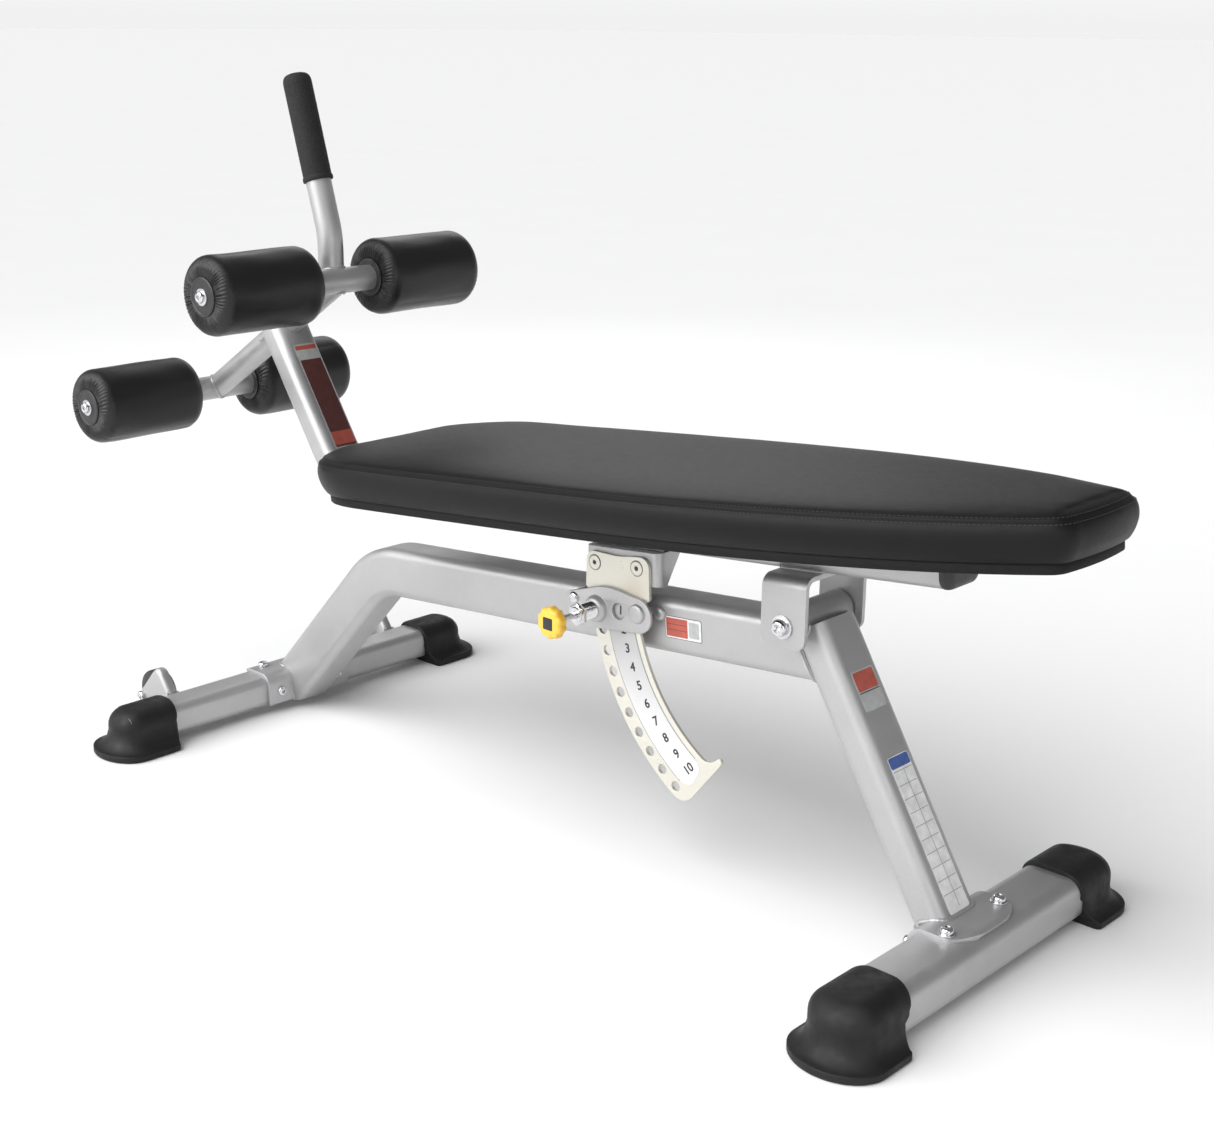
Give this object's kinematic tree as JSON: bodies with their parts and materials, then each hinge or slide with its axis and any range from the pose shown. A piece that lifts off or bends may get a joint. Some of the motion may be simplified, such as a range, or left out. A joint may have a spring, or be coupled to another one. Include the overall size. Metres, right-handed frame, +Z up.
{
  "type": "decline sit-up bench",
  "caption": "Decline sit-up bench: padded board tilting on a pivoted steel base, locked by a pull pin in a holed arc plate, with foam leg rollers and a hand post.",
  "frame": {"origin": "middle of the whole bench's bounding box, at the floor", "axes": "+X along the bench to the head end of the pad, +Z up, -Y towards the side with the arc plate and the pull pin"},
  "size_m": [1.6663, 0.738, 1.0037],
  "materials": {
    "steel_silver": "silver metallic powder coat, fine texture",
    "chrome": "bright zinc or chrome plate",
    "nickel_plate": "nickel-plated steel plate, satin",
    "rubber_black": "matte moulded rubber",
    "grip_rubber": "fine-grained foam rubber grip",
    "plastic_black": "moulded black plastic",
    "plastic_yellow": "yellow moulded knob",
    "vinyl_black": "black vinyl upholstery, soft sheen",
    "plywood_black": "black-painted plywood base board",
    "spring_steel": "bare spring wire",
    "bronze": "sintered bronze bush"
  },
  "bodies": {
    "base": {"front_base_tube": "steel_silver", "front_foot_left": "rubber_black", "front_foot_right": "rubber_black", "front_leg": "steel_silver", "front_saddle": "steel_silver", "front_saddle_bolt_left": "chrome", "front_saddle_bolt_right": "chrome", "front_saddle_rear_bolt_left": "chrome", "front_saddle_rear_bolt_right": "chrome", "guide_plate": "steel_silver", "guide_stud_front": "steel_silver", "guide_stud_rear": "chrome", "main_beam": "steel_silver", "pivot_barrel": "steel_silver", "pivot_bush_left": "bronze", "pivot_bush_right": "bronze", "plunger_housing": "chrome", "plunger_locknut": "chrome", "plunger_spring": "spring_steel", "rear_base_tube": "steel_silver", "rear_foot_left": "rubber_black", "rear_foot_right": "rubber_black", "rear_saddle": "steel_silver", "rear_saddle_front_bolt_left": "chrome", "rear_saddle_front_bolt_right": "chrome", "rear_saddle_top_bolt_left": "chrome", "rear_saddle_top_bolt_right": "chrome", "wheel_bolt_left": "chrome", "wheel_bolt_right": "chrome", "wheel_bracket_left": "steel_silver", "wheel_bracket_right": "steel_silver"},
    "bench": {"seat_rail": "steel_silver", "rail_end_cap": "plastic_black", "pivot_bracket": "steel_silver", "pivot_bolt": "chrome", "pivot_nut": "chrome", "arc_mount": "steel_silver", "arc_plate": "nickel_plate", "arc_bolt_rear": "chrome", "arc_bolt_front": "chrome", "pad_board": "plywood_black", "seat_pad": "vinyl_black", "upper_cross_tube": "steel_silver", "lower_cross_tube": "steel_silver", "roller_arm": "steel_silver", "handle_tube": "steel_silver", "hand_grip": "grip_rubber", "roller_cap_upper_right": "chrome", "roller_cap_upper_left": "chrome", "roller_cap_lower_right": "chrome", "roller_cap_lower_left": "chrome"},
    "plunger": {"plunger_pin": "chrome", "plunger_knob": "plastic_yellow"},
    "roller_upper_right": {"roller_upper_right": "vinyl_black"},
    "roller_upper_left": {"roller_upper_left": "vinyl_black"},
    "roller_lower_right": {"roller_lower_right": "vinyl_black"},
    "roller_lower_left": {"roller_lower_left": "vinyl_black"},
    "wheel_right": {"wheel_right": "plastic_black"},
    "wheel_left": {"wheel_left": "plastic_black"}
  },
  "joints": [
    {"name": "bench_tilt", "type": "hinge", "parent": "base", "child": "bench", "pos_m": [0.4533, 0, 0.3895], "axis": [0, 1, 0], "range_deg": [0, 47.84]},
    {"name": "plunger_pull", "type": "slide", "parent": "base", "child": "plunger", "axis": [0, -1, 0], "range_m": [-0.0125, 0], "stiffness_N_per_m": 600, "springref_m": -0.02},
    {"name": "roller_upper_right_spin", "type": "hinge", "parent": "bench", "child": "roller_upper_right", "pos_m": [-0.4495, -0.1503, 0.7041], "axis": [0, 1, 0], "continuous": true},
    {"name": "roller_upper_left_spin", "type": "hinge", "parent": "bench", "child": "roller_upper_left", "pos_m": [-0.4495, 0.1503, 0.7041], "axis": [0, 1, 0], "continuous": true},
    {"name": "roller_lower_right_spin", "type": "hinge", "parent": "bench", "child": "roller_lower_right", "pos_m": [-0.7748, -0.1503, 0.4973], "axis": [0, 1, 0], "continuous": true},
    {"name": "roller_lower_left_spin", "type": "hinge", "parent": "bench", "child": "roller_lower_left", "pos_m": [-0.7748, 0.1503, 0.4973], "axis": [0, 1, 0], "continuous": true},
    {"name": "wheel_right_spin", "type": "hinge", "parent": "base", "child": "wheel_right", "pos_m": [-0.6935, -0.198, 0.038], "axis": [0, 1, 0], "continuous": true},
    {"name": "wheel_left_spin", "type": "hinge", "parent": "base", "child": "wheel_left", "pos_m": [-0.6935, 0.198, 0.038], "axis": [0, 1, 0], "continuous": true}
  ]
}
